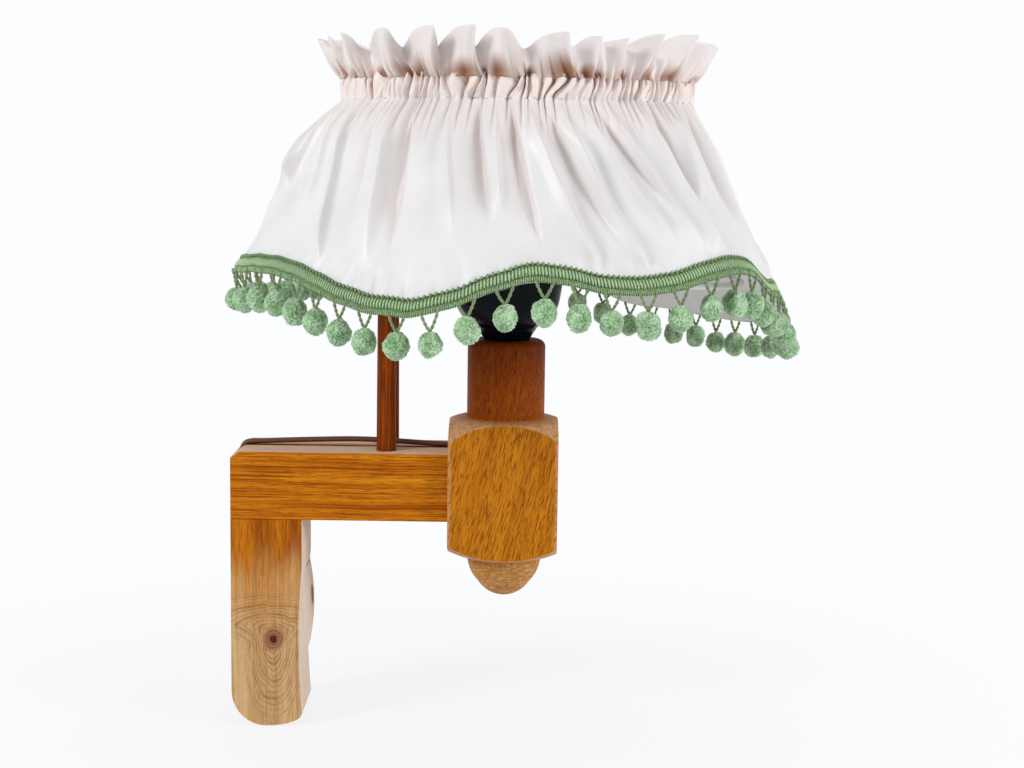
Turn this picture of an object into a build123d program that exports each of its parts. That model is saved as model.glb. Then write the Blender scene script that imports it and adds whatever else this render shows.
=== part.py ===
from build123d import *
import math
import os

# Wooden wall lamp with a gathered fabric shade. Millimetres, +Z up.
# The wall is the plane X = 0, the arm reaches out along +X, and the origin is the
# middle of the round hole of the hanging plate, in the back of the post.

os.makedirs("parts", exist_ok=True)

# Fits
glue_gap = 0.05
loose_gap = 0.3
past = 1.0

# Post and arm
post_thickness = 39.0
post_width = 46.0
post_height = 116.6
post_hollow = 1.8
hollow_start = 26.0
foot_low_point = 19.0
foot_wall_rise = 20.0
foot_front_rise = 7.0
knot_height = -11.0
knot_offset = 13.0
knot_swell = 2.4
knot_radius = 24.0
arm_underside = 45.0
arm_height = 38.0
arm_width = 46.0
arm_chamfer_along = 5.5
arm_chamfer_down = 3.8
edge_ease = 1.0
lamp_reach = 150.0
peg_diameter = 10.0
peg_length = 40.0
peg_spacing = 24.0
peg_from_wall = 26.0
tenon_length = 20.0
tenon_width = 20.0
tenon_height = 22.0
tenon_below_top = 9.0

# Turned head
block_size = 60.0
block_shift = 1.0
neck_diameter = 43.0
neck_height = 43.0
neck_edge = 4.0
shoulder_radius = 24.0
shoulder_above_arm = 18.0
block_below_arm = 20.0
under_rise = 9.0
under_drop = 3.0
dome_diameter = 41.0
dome_height = 22.5

# Points down the dome's side: share of its radius, share of its height
dome_upper = (0.93, 0.33)
dome_flank = (0.72, 0.62)
dome_lower = (0.4, 0.9)

# Dowels that carry the shade
dowel_from_wall = 84.6
dowel_spacing = 26.0
dowel_base = 10.8
dowel_top = 9.8
dowel_sunk = 20.0
pin_diameter = 6.0
pin_height = 9.0

# Flex
flex_diameter = 3.0
flex_from_wall = 3.6
flex_wall_bend = 8.5
flex_head_bend = 9.0
flex_bend_share = 0.45
flex_head_rise = 0.4
flex_wall_rise = 1.6
groove_width = 5.0
groove_depth = 4.0
end_groove_depth = 6.0
head_bore = 10.1
flex_bore = 7.0

# Flex along the arm: distance from the wall, height of its middle above the arm's top
flex_lie = [(106.0, 2.0), (72.0, 4.2), (36.0, 3.0)]

# Hanging plate
plate_width = 22.0
plate_above = 20.0
plate_below = 26.0
plate_thickness = 2.5
key_diameter = 10.0
key_slot = 5.0
key_rise = 9.0
key_pocket = 9.0
plate_screw_inset = 4.5
screw_head = 6.0
screw_shank = 3.0
screw_length = 16.0
screw_slot = 0.9

# Terminal block
terminal_width = 20.0
terminal_height = 15.0
terminal_depth = 12.0
terminal_gap = 1.0
terminal_pitch = 10.0
terminal_row = 8.0
terminal_screw = 4.0

# Cup, lampholder and bulb
cup_wall = 1.8
cup_base_radius = 12.5
cup_waist_radius = 17.0
cup_belly_radius = 28.5
cup_rim_radius = 31.0
cup_waist_height = 7.0
cup_belly_height = 20.0
cup_height = 40.0
cup_turn_out = 0.66
cup_turn_up = 0.42
cup_flare = 0.7
nipple_diameter = 10.0
nipple_bore = 7.0
nipple_sunk = 22.0
nut_across = 17.0
nut_height = 4.0
holder_radius = 19.5
holder_wall = 2.2
holder_boss_radius = 9.0
holder_boss_height = 3.0
holder_dome_height = 11.0
holder_cap_height = 22.0
holder_turn_out = 0.7
holder_turn_up = 0.3
insert_height = 12.0
skirt_wall = 1.7
skirt_overlap = 6.0
skirt_height = 40.0
skirt_taper = 2.0
thread_radius = 14.5
thread_wall = 0.8
thread_height = 21.0
contact_radius = 3.0
contact_height = 2.5
bulb_cap_radius = 13.2
bulb_cap_height = 20.0
bulb_insulator_radius = 9.5
bulb_insulator_height = 3.5
bulb_radius = 22.5
bulb_neck_radius = 12.4
bulb_height = 52.0
bulb_wall = 0.8
bulb_join = 30.0
bulb_waist = 0.12

# Shade
shade_wall_gap = 1.5
hem_radius = 149.0
hem_corner = 3.5
rib_count = 6
rib_turn = 10.0
channel_radius = 94.5
channel_height = 10.0
channel_base = 273.5
frill_radius = 106.0
frill_rise = 22.0
cloth = 1.4
fold_count = 20
skirt_fold = 4.0
channel_fold = 1.5
frill_fold = 8.0
fold_share = 0.55
elastic_height = 6.0
elastic_thickness = 0.9
ring_wire = 3.6
rib_wire = 3.0
bottom_ring_height = 191.0
bottom_ring_sag = 6.0
carrier_width = 12.0
carrier_thickness = 2.5
carrier_hole = 6.8
braid_width = 11.0
braid_thickness = 1.8
pompom_count = 54
pompom_turn = 1.8
pompom_radius = 6.3
pompom_drop = 14.5
pompom_sides = 8
pompom_rows = (-60, -20, 20, 60)
pompom_knot = 45.0
thread_spread = 4.5
thread_thickness = 1.2
wall_gap = 0.6

# Height of the braid's middle round the hem: angle from +X in degrees, height
hem_heights = [(0, 161.5), (28, 155), (58, 158), (80, 173), (110, 180), (146, 183), (180, 185.5),
               (211, 190), (249, 175), (275, 192.5), (292, 186), (317, 195), (338, 180), (360, 161.5)]

# Worked-out places
arm_top = arm_underside + arm_height
arm_end = lamp_reach - block_shift - block_size / 2
neck_base = arm_top + shoulder_above_arm
neck_top = neck_base + neck_height
plate_screw_heights = (plate_above - plate_screw_inset, plate_screw_inset - plate_below)
terminal_top = arm_underside - 2 * terminal_gap
cap_base = neck_top + cup_wall + nut_height
insert_base = cap_base + holder_cap_height
insert_top = insert_base + insert_height
bulb_base = insert_top + contact_height
bulb_seat = bulb_base + bulb_insulator_height + bulb_cap_height
shade_middle = hem_radius + hem_corner + shade_wall_gap
elastic_radius = channel_radius - channel_fold - cloth - loose_gap
top_ring_height = channel_base + channel_height / 2
top_ring_radius = elastic_radius - elastic_thickness - loose_gap - ring_wire / 2
sag_slope = math.tan(math.radians(bottom_ring_sag))
carrier_middle = bottom_ring_height + (shade_middle - dowel_from_wall) * sag_slope
carrier_base = carrier_middle - carrier_thickness / 2
centred = (Align.CENTER, Align.CENTER, Align.MIN)

# Route of the flex, from the lampholder down the neck, along the arm and down its wall end
flex_points = [
    (lamp_reach, 0, insert_base),
    (lamp_reach, 0, arm_top + flex_head_rise),
    *[(reach, 0, arm_top + rise) for reach, rise in flex_lie],
    (flex_from_wall, 0, arm_top + flex_wall_rise),
    (flex_from_wall, 0, terminal_top),
]


def save(node, shape):
    export_step(shape, f"parts/{node}.step")


def upright(edges):
    """Face in the XZ plane, bounded by edges drawn as (x, z)."""
    return Plane.XZ * make_face(edges)


def turned(edges):
    """Solid turned about the lamp's axis, from edges drawn as (radius, height)."""
    return Pos(lamp_reach, 0, 0) * revolve(upright(edges), Axis.Z)


def turned_outline(*points):
    return turned(Polyline(*points, close=True).edges())


def rod(diameter, low, high):
    """Round bar between two points."""
    run = Vector(*high) - Vector(*low)
    return Plane(origin=low, z_dir=run) * Cylinder(diameter / 2, run.length, align=centred)


def cone(low_diameter, high_diameter, low, high):
    """Tapered round bar between two points."""
    run = Vector(*high) - Vector(*low)
    return Plane(origin=low, z_dir=run) * Cone(low_diameter / 2, high_diameter / 2, run.length, align=centred)


def block(low, high):
    """Box between two corners."""
    size = [b - a for a, b in zip(low, high)]
    return Pos(*low) * Box(*size, align=(Align.MIN, Align.MIN, Align.MIN))


def quarter_ellipse(middle, half_width, half_height, start):
    return EllipticalCenterArc(middle, half_width, half_height, start_angle=start, arc_size=90)


def group(solids):
    return Compound(children=[Part(solid.wrapped) for solid in solids])


# Wooden bracket


def pegs(gap):
    reach = peg_length / 2 + gap
    bars = []
    for side in (-1, 1):
        place = (peg_from_wall, side * peg_spacing / 2)
        low = (*place, arm_underside - reach)
        high = (*place, arm_underside + reach)
        bars.append(rod(peg_diameter + 2 * gap, low, high))
    return bars


def make_post():
    front = post_thickness
    foot = arm_underside - post_height
    hollow_top = arm_underside - hollow_start
    hollow_low = foot + foot_front_rise
    hollow_middle = (front - post_hollow, (hollow_top + hollow_low) / 2)
    wall_low = foot + foot_wall_rise
    outline = [
        Line((0, wall_low), (0, arm_underside)),
        Line((0, arm_underside), (front, arm_underside)),
        Line((front, arm_underside), (front, hollow_top)),
        ThreePointArc((front, hollow_top), hollow_middle, (front, hollow_low)),
        quarter_ellipse((foot_low_point, hollow_low), front - foot_low_point, foot_front_rise, 270),
        quarter_ellipse((foot_low_point, wall_low), foot_low_point, foot_wall_rise, 180),
    ]
    half = post_width / 2
    post = extrude(upright(outline), half, both=True)
    swell_radius = (knot_radius ** 2 + knot_swell ** 2) / (2 * knot_swell)
    swell = Pos(front + knot_swell - swell_radius, knot_offset, knot_height) * Sphere(swell_radius)
    swell_low = (front / 2, -half, knot_height - knot_radius)
    swell_high = (2 * front, half, knot_height + knot_radius)
    post += swell & block(swell_low, swell_high)
    recess_half = terminal_width / 2 + terminal_gap
    recess_low = terminal_top - terminal_height - terminal_gap
    post -= block((-past, -recess_half, recess_low), (terminal_depth, recess_half, terminal_top))
    groove = groove_width / 2
    post -= block((-past, -groove, recess_low), (end_groove_depth, groove, arm_underside + past))
    pocket_half = plate_width / 2 + glue_gap
    pocket_low = -plate_below - glue_gap
    pocket_high = plate_above + glue_gap
    post -= block((-past, -pocket_half, pocket_low), (plate_thickness, pocket_half, pocket_high))
    key_half = key_diameter / 2
    post -= block((0, -key_half, -key_half), (key_pocket, key_half, key_rise + key_half))
    for height in plate_screw_heights:
        post -= rod(screw_shank + 2 * glue_gap, (0, 0, height), (screw_length + glue_gap, 0, height))
    for bar in pegs(glue_gap):
        post -= bar
    return post


def tenon(gap):
    high = arm_top - tenon_below_top + gap
    low = high - tenon_height - 2 * gap
    half = tenon_width / 2 + gap
    return block((arm_end - past, -half, low), (arm_end + tenon_length + gap, half, high))


def make_arm():
    half = arm_width / 2
    arm = block((0, -half, arm_underside), (arm_end, half, arm_top))
    arm = fillet(arm.edges().filter_by(Axis.X), edge_ease)
    slope = arm_chamfer_down / arm_chamfer_along
    corner = Polyline(
        (-past, arm_top - arm_chamfer_down - past * slope),
        (arm_chamfer_along + past, arm_top + past * slope),
        (-past, arm_top + past * slope),
        close=True,
    )
    arm -= extrude(upright(corner.edges()), arm_width, both=True)
    arm += tenon(0)
    groove = groove_width / 2
    arm -= block((-past, -groove, arm_top - groove_depth), (arm_end, groove, arm_top + past))
    arm -= block((-past, -groove, arm_underside - past), (end_groove_depth, groove, arm_top + past))
    for side in (-1, 1):
        place = (dowel_from_wall, side * dowel_spacing / 2)
        socket_low = (*place, arm_top - dowel_sunk - glue_gap)
        arm -= rod(dowel_base + 2 * glue_gap, socket_low, (*place, arm_top + past))
    for bar in pegs(glue_gap):
        arm -= bar
    return arm


def shoulder_drop(reach):
    return shoulder_radius - math.sqrt(shoulder_radius ** 2 - reach ** 2)


def make_head():
    neck = neck_diameter / 2
    half = block_size / 2
    outer = math.hypot(half + block_shift, half) + past
    dome = dome_diameter / 2
    lower_face = arm_underside - block_below_arm
    root = lower_face - under_drop
    tip = root - dome_height
    upper, flank, lower = [
        (out * dome, root - down * dome_height) for out, down in (dome_upper, dome_flank, dome_lower)
    ]
    shoulder = outer - neck
    profile = [
        ThreePointArc((0, tip), lower, flank),
        ThreePointArc(flank, upper, (dome, root)),
        ThreePointArc((dome, root), (half, lower_face), (outer, lower_face + under_rise)),
        Line((outer, lower_face + under_rise), (outer, neck_base - shoulder_drop(shoulder))),
        ThreePointArc(
            (outer, neck_base - shoulder_drop(shoulder)),
            (neck + shoulder / 2, neck_base - shoulder_drop(shoulder / 2)),
            (neck, neck_base),
        ),
        Line((neck, neck_base), (neck, neck_top - neck_edge)),
        CenterArc((neck - neck_edge, neck_top - neck_edge), neck_edge, 0, 90),
        Line((neck - neck_edge, neck_top), (0, neck_top)),
        Line((0, neck_top), (0, tip)),
    ]
    square = block((arm_end, -half, tip - past), (arm_end + block_size, half, neck_top + past))
    square = fillet(square.edges().filter_by(Axis.Z), edge_ease)
    head = turned(profile) & square
    flex_level = flex_points[1][2]
    head -= rod(head_bore, (lamp_reach, 0, flex_level - flex_bore / 2), (lamp_reach, 0, neck_top + past))
    head -= rod(flex_bore, (arm_end - past, 0, flex_level), (lamp_reach, 0, flex_level))
    return head - tenon(glue_gap)


def make_dowel(side):
    place = (dowel_from_wall, side * dowel_spacing / 2)
    foot = rod(dowel_base, (*place, arm_top - dowel_sunk), (*place, arm_top))
    shaft = cone(dowel_base, dowel_top, (*place, arm_top), (*place, carrier_base))
    pin = rod(pin_diameter, (*place, carrier_base - past), (*place, carrier_base + pin_height))
    pin = chamfer(pin.edges().group_by(Axis.Z)[-1], pin_diameter / 8)
    return foot + shaft + pin


# Wall fixing and wiring


def plate_screw(height, gap):
    sink = (screw_head - screw_shank) / 2
    shank_end = screw_length - screw_shank
    head = cone(screw_head + 2 * gap, screw_shank + 2 * gap, (0, 0, height), (sink, 0, height))
    shank = rod(screw_shank + 2 * gap, (sink, 0, height), (shank_end, 0, height))
    point = cone(screw_shank + 2 * gap, screw_slot, (shank_end, 0, height), (screw_length + gap, 0, height))
    return head + shank + point


def make_plate_screws():
    screws = []
    for height in plate_screw_heights:
        low = (-past, -screw_head, height - screw_slot / 2)
        high = (screw_slot, screw_head, height + screw_slot / 2)
        screws.append(plate_screw(height, 0) - block(low, high))
    return group(screws)


def make_hanging_plate():
    half = plate_width / 2
    far = plate_thickness + past
    plate = block((0, -half, -plate_below), (plate_thickness, half, plate_above))
    plate -= rod(key_diameter, (-past, 0, 0), (far, 0, 0))
    plate -= block((-past, -key_slot / 2, 0), (far, key_slot / 2, key_rise))
    plate -= rod(key_slot, (-past, 0, key_rise), (far, 0, key_rise))
    for height in plate_screw_heights:
        plate -= plate_screw(height, glue_gap)
    return plate


def terminal_screws(diameter, low, high):
    middle = terminal_top - terminal_height / 2
    bars = []
    for side in (-1, 1):
        for row in (-1, 1):
            place = (side * terminal_pitch / 2, middle + row * terminal_row / 2)
            bars.append(rod(diameter, (low, *place), (high, *place)))
    return bars


def make_terminal_block():
    half = terminal_width / 2
    low = terminal_top - terminal_height
    shell = block((terminal_gap, -half, low), (terminal_depth, half, terminal_top))
    seam_high = (2 * terminal_gap, terminal_gap, terminal_top - groove_width)
    shell -= block((0, -terminal_gap, low - past), seam_high)
    for bar in terminal_screws(terminal_screw + 2 * glue_gap, 0, terminal_depth / 2):
        shell -= bar
    return shell


def make_flex():
    """Tube of straight runs and tangent arcs."""
    points = [Vector(*point) for point in flex_points]
    radii = []
    for before, corner, after in zip(points, points[1:], points[2:]):
        turn = (corner - before).get_angle(after - corner)
        shorter = min((corner - before).length, (after - corner).length)
        radii.append(flex_bend_share * shorter / math.tan(math.radians(turn / 2)))
    radii[0] = flex_head_bend
    radii[-1] = flex_wall_bend
    path = FilletPolyline(*points, radius=radii)
    tube = sweep(Plane(path ^ 0) * Circle(flex_diameter / 2), path=path)
    expected = path.length * math.pi * flex_diameter ** 2 / 4
    print("flex length", round(path.length, 1), "bend radii", [round(radius, 1) for radius in radii])
    print("flex volume", round(tube.volume, 1), "section times length", round(expected, 1))
    return tube


# Cup, lampholder and bulb


def cup_solid(inset):
    low = neck_top + inset
    waist = (cup_waist_radius - inset, neck_top + cup_waist_height)
    belly = (cup_belly_radius - inset, neck_top + cup_belly_height)
    rim = (cup_rim_radius - inset, neck_top + cup_height)
    turn_radius = waist[0] + cup_turn_out * (belly[0] - waist[0])
    turn = (turn_radius, waist[1] + cup_turn_up * (belly[1] - waist[1]))
    flare = (belly[0] + cup_flare * (rim[0] - belly[0]), (belly[1] + rim[1]) / 2)
    profile = [
        Line((0, low), (cup_base_radius - inset, low)),
        Line((cup_base_radius - inset, low), waist),
        ThreePointArc(waist, turn, belly),
        ThreePointArc(belly, flare, rim),
        Line(rim, (0, rim[1])),
        Line((0, rim[1]), (0, low)),
    ]
    return turned(profile)


def make_cup():
    hole = nipple_diameter + 2 * glue_gap
    bore = rod(hole, (lamp_reach, 0, neck_top - past), (lamp_reach, 0, neck_top + cup_height))
    return cup_solid(0) - cup_solid(cup_wall) - bore


def make_nipple():
    low = neck_top - nipple_sunk
    high = cap_base + holder_boss_height + holder_wall
    inner = nipple_bore / 2
    outer = nipple_diameter / 2
    return turned_outline((inner, low), (outer, low), (outer, high), (inner, high))


def make_nut():
    low = neck_top + cup_wall
    hexagon = RegularPolygon(nut_across / 2, 6, major_radius=False)
    nut = Pos(lamp_reach, 0, low) * extrude(hexagon, nut_height)
    hole = nipple_diameter + 2 * glue_gap
    return nut - rod(hole, (lamp_reach, 0, low - past), (lamp_reach, 0, cap_base + past))


def make_holder_cap():
    hole = nipple_diameter / 2 + glue_gap
    boss_top = cap_base + holder_boss_height
    dome_top = boss_top + holder_dome_height
    inner = holder_radius - holder_wall
    floor = boss_top + holder_wall
    outer_reach = holder_boss_radius + holder_turn_out * (holder_radius - holder_boss_radius)
    inner_reach = holder_boss_radius + holder_turn_out * (inner - holder_boss_radius)
    outer_turn = (outer_reach, boss_top + holder_turn_up * holder_dome_height)
    inner_turn = (inner_reach, floor + holder_turn_up * (dome_top - floor))
    profile = [
        Line((hole, cap_base), (holder_boss_radius, cap_base)),
        Line((holder_boss_radius, cap_base), (holder_boss_radius, boss_top)),
        ThreePointArc((holder_boss_radius, boss_top), outer_turn, (holder_radius, dome_top)),
        Line((holder_radius, dome_top), (holder_radius, insert_base)),
        Line((holder_radius, insert_base), (inner, insert_base)),
        Line((inner, insert_base), (inner, dome_top)),
        ThreePointArc((inner, dome_top), inner_turn, (holder_boss_radius, floor)),
        Line((holder_boss_radius, floor), (hole, floor)),
        Line((hole, floor), (hole, cap_base)),
    ]
    return turned(profile)


def make_insert():
    disc = rod(2 * holder_radius, (lamp_reach, 0, insert_base), (lamp_reach, 0, insert_top))
    for side in (-1, 1):
        place = (lamp_reach, side * holder_radius / 2)
        disc -= rod(terminal_screw, (*place, insert_base - past), (*place, insert_base + insert_height / 2))
    return disc


def make_skirt():
    low = insert_base - skirt_overlap
    high = low + skirt_height
    inner = holder_radius + loose_gap / 2
    outer = inner + skirt_wall
    mouth = thread_radius + loose_gap
    return turned_outline(
        (inner, low),
        (outer, low),
        (outer, insert_top + skirt_wall),
        (outer - skirt_taper, high),
        (mouth, high),
        (mouth, insert_top),
        (inner, insert_top),
    )


def make_thread_shell():
    inner = thread_radius - thread_wall
    low = insert_top
    high = insert_top + thread_height
    return turned_outline((inner, low), (thread_radius, low), (thread_radius, high), (inner, high))


def make_contact():
    return rod(2 * contact_radius, (lamp_reach, 0, insert_top), (lamp_reach, 0, bulb_base))


def make_bulb_insulator():
    low = (lamp_reach, 0, bulb_base)
    high = (lamp_reach, 0, bulb_base + bulb_insulator_height)
    return cone(2 * contact_radius, 2 * bulb_insulator_radius, low, high)


def make_bulb_cap():
    low = bulb_base + bulb_insulator_height
    return turned_outline(
        (0, low),
        (bulb_insulator_radius, low),
        (bulb_cap_radius, low + bulb_insulator_height),
        (bulb_cap_radius, bulb_seat),
        (0, bulb_seat),
    )


def bulb_solid(inset):
    neck = bulb_neck_radius - inset
    radius = bulb_radius - inset
    middle = bulb_seat + bulb_height - bulb_radius
    join = math.radians(bulb_join)
    belly = (radius * math.cos(join), middle - radius * math.sin(join))
    waist = ((neck + belly[0]) / 2 - bulb_waist * bulb_radius, (bulb_seat + belly[1]) / 2)
    side = (radius * math.cos(join), middle + radius * math.sin(join))
    profile = [
        Line((0, bulb_seat - inset), (neck, bulb_seat - inset)),
        ThreePointArc((neck, bulb_seat - inset), waist, belly),
        ThreePointArc(belly, side, (0, middle + radius)),
        Line((0, middle + radius), (0, bulb_seat - inset)),
    ]
    return turned(profile)


def make_bulb_glass():
    return bulb_solid(0) - bulb_solid(bulb_wall)


# Line of the shade


def hem_height(angle):
    """Height of the braid's middle, eased from one given height to the next."""
    angle = angle % 360
    for (start, low), (end, high) in zip(hem_heights, hem_heights[1:]):
        if start <= angle <= end:
            share = (1 - math.cos(math.pi * (angle - start) / (end - start))) / 2
            return low + share * (high - low)


def hem_reach(angle):
    return hem_radius + hem_corner * math.cos(math.radians(rib_count * (angle - rib_turn)))


def flank(angle, rise):
    """Radius and height on the skirt, a given height above the hem's lower edge."""
    low = hem_height(angle) - braid_width / 2
    share = rise / (channel_base - low)
    return hem_reach(angle) + share * (channel_radius - hem_reach(angle)), low + rise


def skirt_rise(angle, share):
    return share * (channel_base - hem_height(angle) + braid_width / 2)


def ring_room(angle):
    """Radius of the cover at an angle, where the bottom ring's plane meets it."""
    low = hem_height(angle) - braid_width / 2
    slope = (channel_radius - hem_reach(angle)) / (channel_base - low)
    sag = math.cos(math.radians(angle)) * sag_slope
    return (hem_reach(angle) + slope * (bottom_ring_height - low)) / (1 + slope * sag)


ring_clearance = skirt_fold + cloth + loose_gap + ring_wire / 2
bottom_ring_radius = min(ring_room(angle) for angle in range(360)) - ring_clearance


# Shade frame


def on_bottom_ring(angle):
    turn = math.radians(angle)
    along = bottom_ring_radius * math.cos(turn)
    tilt = math.radians(bottom_ring_sag)
    across = bottom_ring_radius * math.sin(turn)
    return (shade_middle + along * math.cos(tilt), across, bottom_ring_height - along * math.sin(tilt))


def in_top_ring(angle):
    """Place of a rib's upper end, against the inner side of the top ring."""
    turn = math.radians(angle)
    radius = top_ring_radius - rib_wire / 2
    return (shade_middle + radius * math.cos(turn), radius * math.sin(turn), top_ring_height)


def top_ring(gap):
    return Pos(shade_middle, 0, top_ring_height) * Torus(top_ring_radius, ring_wire / 2 + gap)


def bottom_ring(gap):
    place = Pos(shade_middle, 0, bottom_ring_height) * Rot(0, bottom_ring_sag, 0)
    return place * Torus(bottom_ring_radius, ring_wire / 2 + gap)


def make_ribs():
    ribs = []
    for index in range(rib_count):
        angle = rib_turn + index * 360 / rib_count
        rib = rod(rib_wire, on_bottom_ring(angle), in_top_ring(angle))
        ribs.append(rib - top_ring(glue_gap) - bottom_ring(glue_gap))
    return group(ribs)


def make_carrier():
    back = (shade_middle - dowel_from_wall) / math.cos(math.radians(bottom_ring_sag))
    half = math.sqrt(bottom_ring_radius ** 2 - back ** 2)
    low = (dowel_from_wall - carrier_width / 2, -half, carrier_base)
    high = (dowel_from_wall + carrier_width / 2, half, carrier_base + carrier_thickness)
    bar = block(low, high) - bottom_ring(glue_gap)
    for side in (-1, 1):
        place = (dowel_from_wall, side * dowel_spacing / 2)
        hole_high = (*place, carrier_base + carrier_thickness + past)
        bar -= rod(carrier_hole, (*place, carrier_base - past), hole_high)
    return bar.solids().sort_by(SortBy.VOLUME)[-1]


# Shade cover and trim

# Levels of the cover, from hem to frill: radius and height at an angle, depth of fold
cover_levels = [
    (lambda angle: flank(angle, 0), 0),
    (lambda angle: flank(angle, braid_width), 0),
    (lambda angle: flank(angle, skirt_rise(angle, fold_share)), skirt_fold),
    (lambda angle: (channel_radius, channel_base), channel_fold),
    (lambda angle: (channel_radius, channel_base + channel_height), channel_fold),
    (lambda angle: (frill_radius, channel_base + channel_height + frill_rise), frill_fold),
]


def shade_point(radius, angle, height):
    turn = math.radians(angle)
    return (shade_middle + radius * math.cos(turn), radius * math.sin(turn), height)


def level_arcs(level, out):
    """Closed row of arcs round the shade: in and out by turns where the cloth is folded."""
    place, fold = level
    step = 180 / fold_count
    arcs = []
    for index in range(2 * fold_count):
        points = []
        for share, bulge in ((0, 0), (0.5, fold), (1, 0)):
            angle = (index + share) * step
            radius, height = place(angle)
            sign = 1 if index % 2 == 0 else -1
            points.append(shade_point(radius + out + sign * bulge, angle, height))
        arcs.append(Edge.make_three_point_arc(*points))
    return arcs


def wrap(levels, inner, outer):
    """Closed solid between two distances out from the given levels, ruled between their arcs."""
    inside = [level_arcs(level, inner) for level in levels]
    outside = [level_arcs(level, outer) for level in levels]
    bands = list(zip(inside, inside[1:])) + list(zip(outside, outside[1:]))
    bands += [(inside[0], outside[0]), (inside[-1], outside[-1])]
    faces = []
    for low_arcs, high_arcs in bands:
        for low, high in zip(low_arcs, high_arcs):
            faces.append(Face.make_surface_from_curves(low, high))
    return Solid(Shell(faces))


def make_fabric():
    return wrap(cover_levels, -cloth, 0)


def make_braid():
    return wrap(cover_levels[:2], loose_gap, loose_gap + braid_thickness)


def make_elastic():
    low = channel_base + (channel_height - elastic_height) / 2
    band = Cylinder(elastic_radius, elastic_height, align=centred)
    band -= Cylinder(elastic_radius - elastic_thickness, elastic_height, align=centred)
    return Pos(shade_middle, 0, low) * band


def faceted_ball():
    """Ball of flat facets, about the origin."""
    rows = []
    for latitude in pompom_rows:
        radius = pompom_radius * math.cos(math.radians(latitude))
        height = pompom_radius * math.sin(math.radians(latitude))
        row = []
        for side in range(pompom_sides):
            turn = 2 * math.pi * side / pompom_sides
            row.append((radius * math.cos(turn), radius * math.sin(turn), height))
        rows.append(row)
    faces = [Face(Wire.make_polygon(rows[0])), Face(Wire.make_polygon(rows[-1]))]
    for low, high in zip(rows, rows[1:]):
        for side in range(pompom_sides):
            after = (side + 1) % pompom_sides
            faces.append(Face(Wire.make_polygon([low[side], low[after], high[after], high[side]])))
    return Solid(Shell(faces))


def hem_line(angle, below):
    """Point below the braid's lower edge, in the middle of its thickness, square to its line."""
    step = 0.1
    points = []
    for side in (-step, 0, step):
        reach = hem_reach(angle + side) + loose_gap + braid_thickness / 2
        points.append(Vector(*shade_point(reach, angle + side, hem_height(angle + side) - braid_width / 2)))
    outward = Vector(math.cos(math.radians(angle)), math.sin(math.radians(angle)), 0)
    square = outward.cross(points[2] - points[0]).normalized()
    return points[1] - square * below


def make_pompom(angle):
    """Pompom that hangs straight down on its two threads, drawn in where it nears the wall."""
    hang = hem_line(angle, 0)
    short = max(0, pompom_radius + wall_gap - hang.X)
    middle = hang + Vector(short, 0, -pompom_drop)
    pompom = Pos(*middle) * faceted_ball()
    knot = middle + Vector(0, 0, pompom_radius * math.cos(math.radians(pompom_knot)))
    spread = math.degrees(thread_spread / hem_radius)
    for side in (-spread, spread):
        top = hem_line(angle + side, loose_gap + thread_thickness / 2)
        run = knot - top
        thread = Box(thread_thickness, thread_thickness, run.length, align=centred)
        pompom += Plane(origin=top, x_dir=run.cross(Vector(0, 0, 1)), z_dir=run) * thread
    return pompom


def make_pompoms():
    return group(make_pompom(pompom_turn + index * 360 / pompom_count) for index in range(pompom_count))


save("wall_post", make_post())
save("arm", make_arm())
save("turned_head", make_head())
save("front_dowel", make_dowel(-1))
save("rear_dowel", make_dowel(1))
save("arm_pegs", group(pegs(0)))
save("hanging_plate", make_hanging_plate())
save("hanging_plate_screws", make_plate_screws())
save("terminal_block", make_terminal_block())
save("terminal_screws", group(terminal_screws(terminal_screw, 2 * terminal_gap, terminal_depth / 2)))
save("flex", make_flex())
save("lamp_cup", make_cup())
save("nipple", make_nipple())
save("nipple_nut", make_nut())
save("lampholder_cap", make_holder_cap())
save("lampholder_insert", make_insert())
save("lampholder_skirt", make_skirt())
save("thread_shell", make_thread_shell())
save("centre_contact", make_contact())
save("bulb_insulator", make_bulb_insulator())
save("bulb_cap", make_bulb_cap())
save("bulb_glass", make_bulb_glass())
save("frame_top_ring", top_ring(0))
save("frame_bottom_ring", bottom_ring(0))
save("frame_ribs", make_ribs())
save("shade_carrier", make_carrier())
save("shade_fabric", make_fabric())
save("elastic_band", make_elastic())
save("braid", make_braid())
save("pompoms", make_pompoms())
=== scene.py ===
import math

import bmesh
import bpy
import numpy as np
from mathutils import Euler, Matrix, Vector


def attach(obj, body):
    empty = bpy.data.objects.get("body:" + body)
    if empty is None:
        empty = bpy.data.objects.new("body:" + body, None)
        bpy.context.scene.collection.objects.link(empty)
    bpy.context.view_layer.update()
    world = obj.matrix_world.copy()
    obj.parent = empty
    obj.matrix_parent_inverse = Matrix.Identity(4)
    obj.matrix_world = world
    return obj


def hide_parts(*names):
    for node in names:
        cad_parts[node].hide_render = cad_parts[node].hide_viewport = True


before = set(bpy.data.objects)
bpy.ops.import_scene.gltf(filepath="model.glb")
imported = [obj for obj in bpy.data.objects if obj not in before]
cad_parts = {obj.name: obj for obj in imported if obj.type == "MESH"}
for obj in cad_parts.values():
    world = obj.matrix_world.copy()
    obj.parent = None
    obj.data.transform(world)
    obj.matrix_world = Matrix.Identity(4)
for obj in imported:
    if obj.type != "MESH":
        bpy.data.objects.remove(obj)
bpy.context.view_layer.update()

MM = 0.001
scene = bpy.context.scene
scene.view_settings.view_transform = "Standard"

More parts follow.
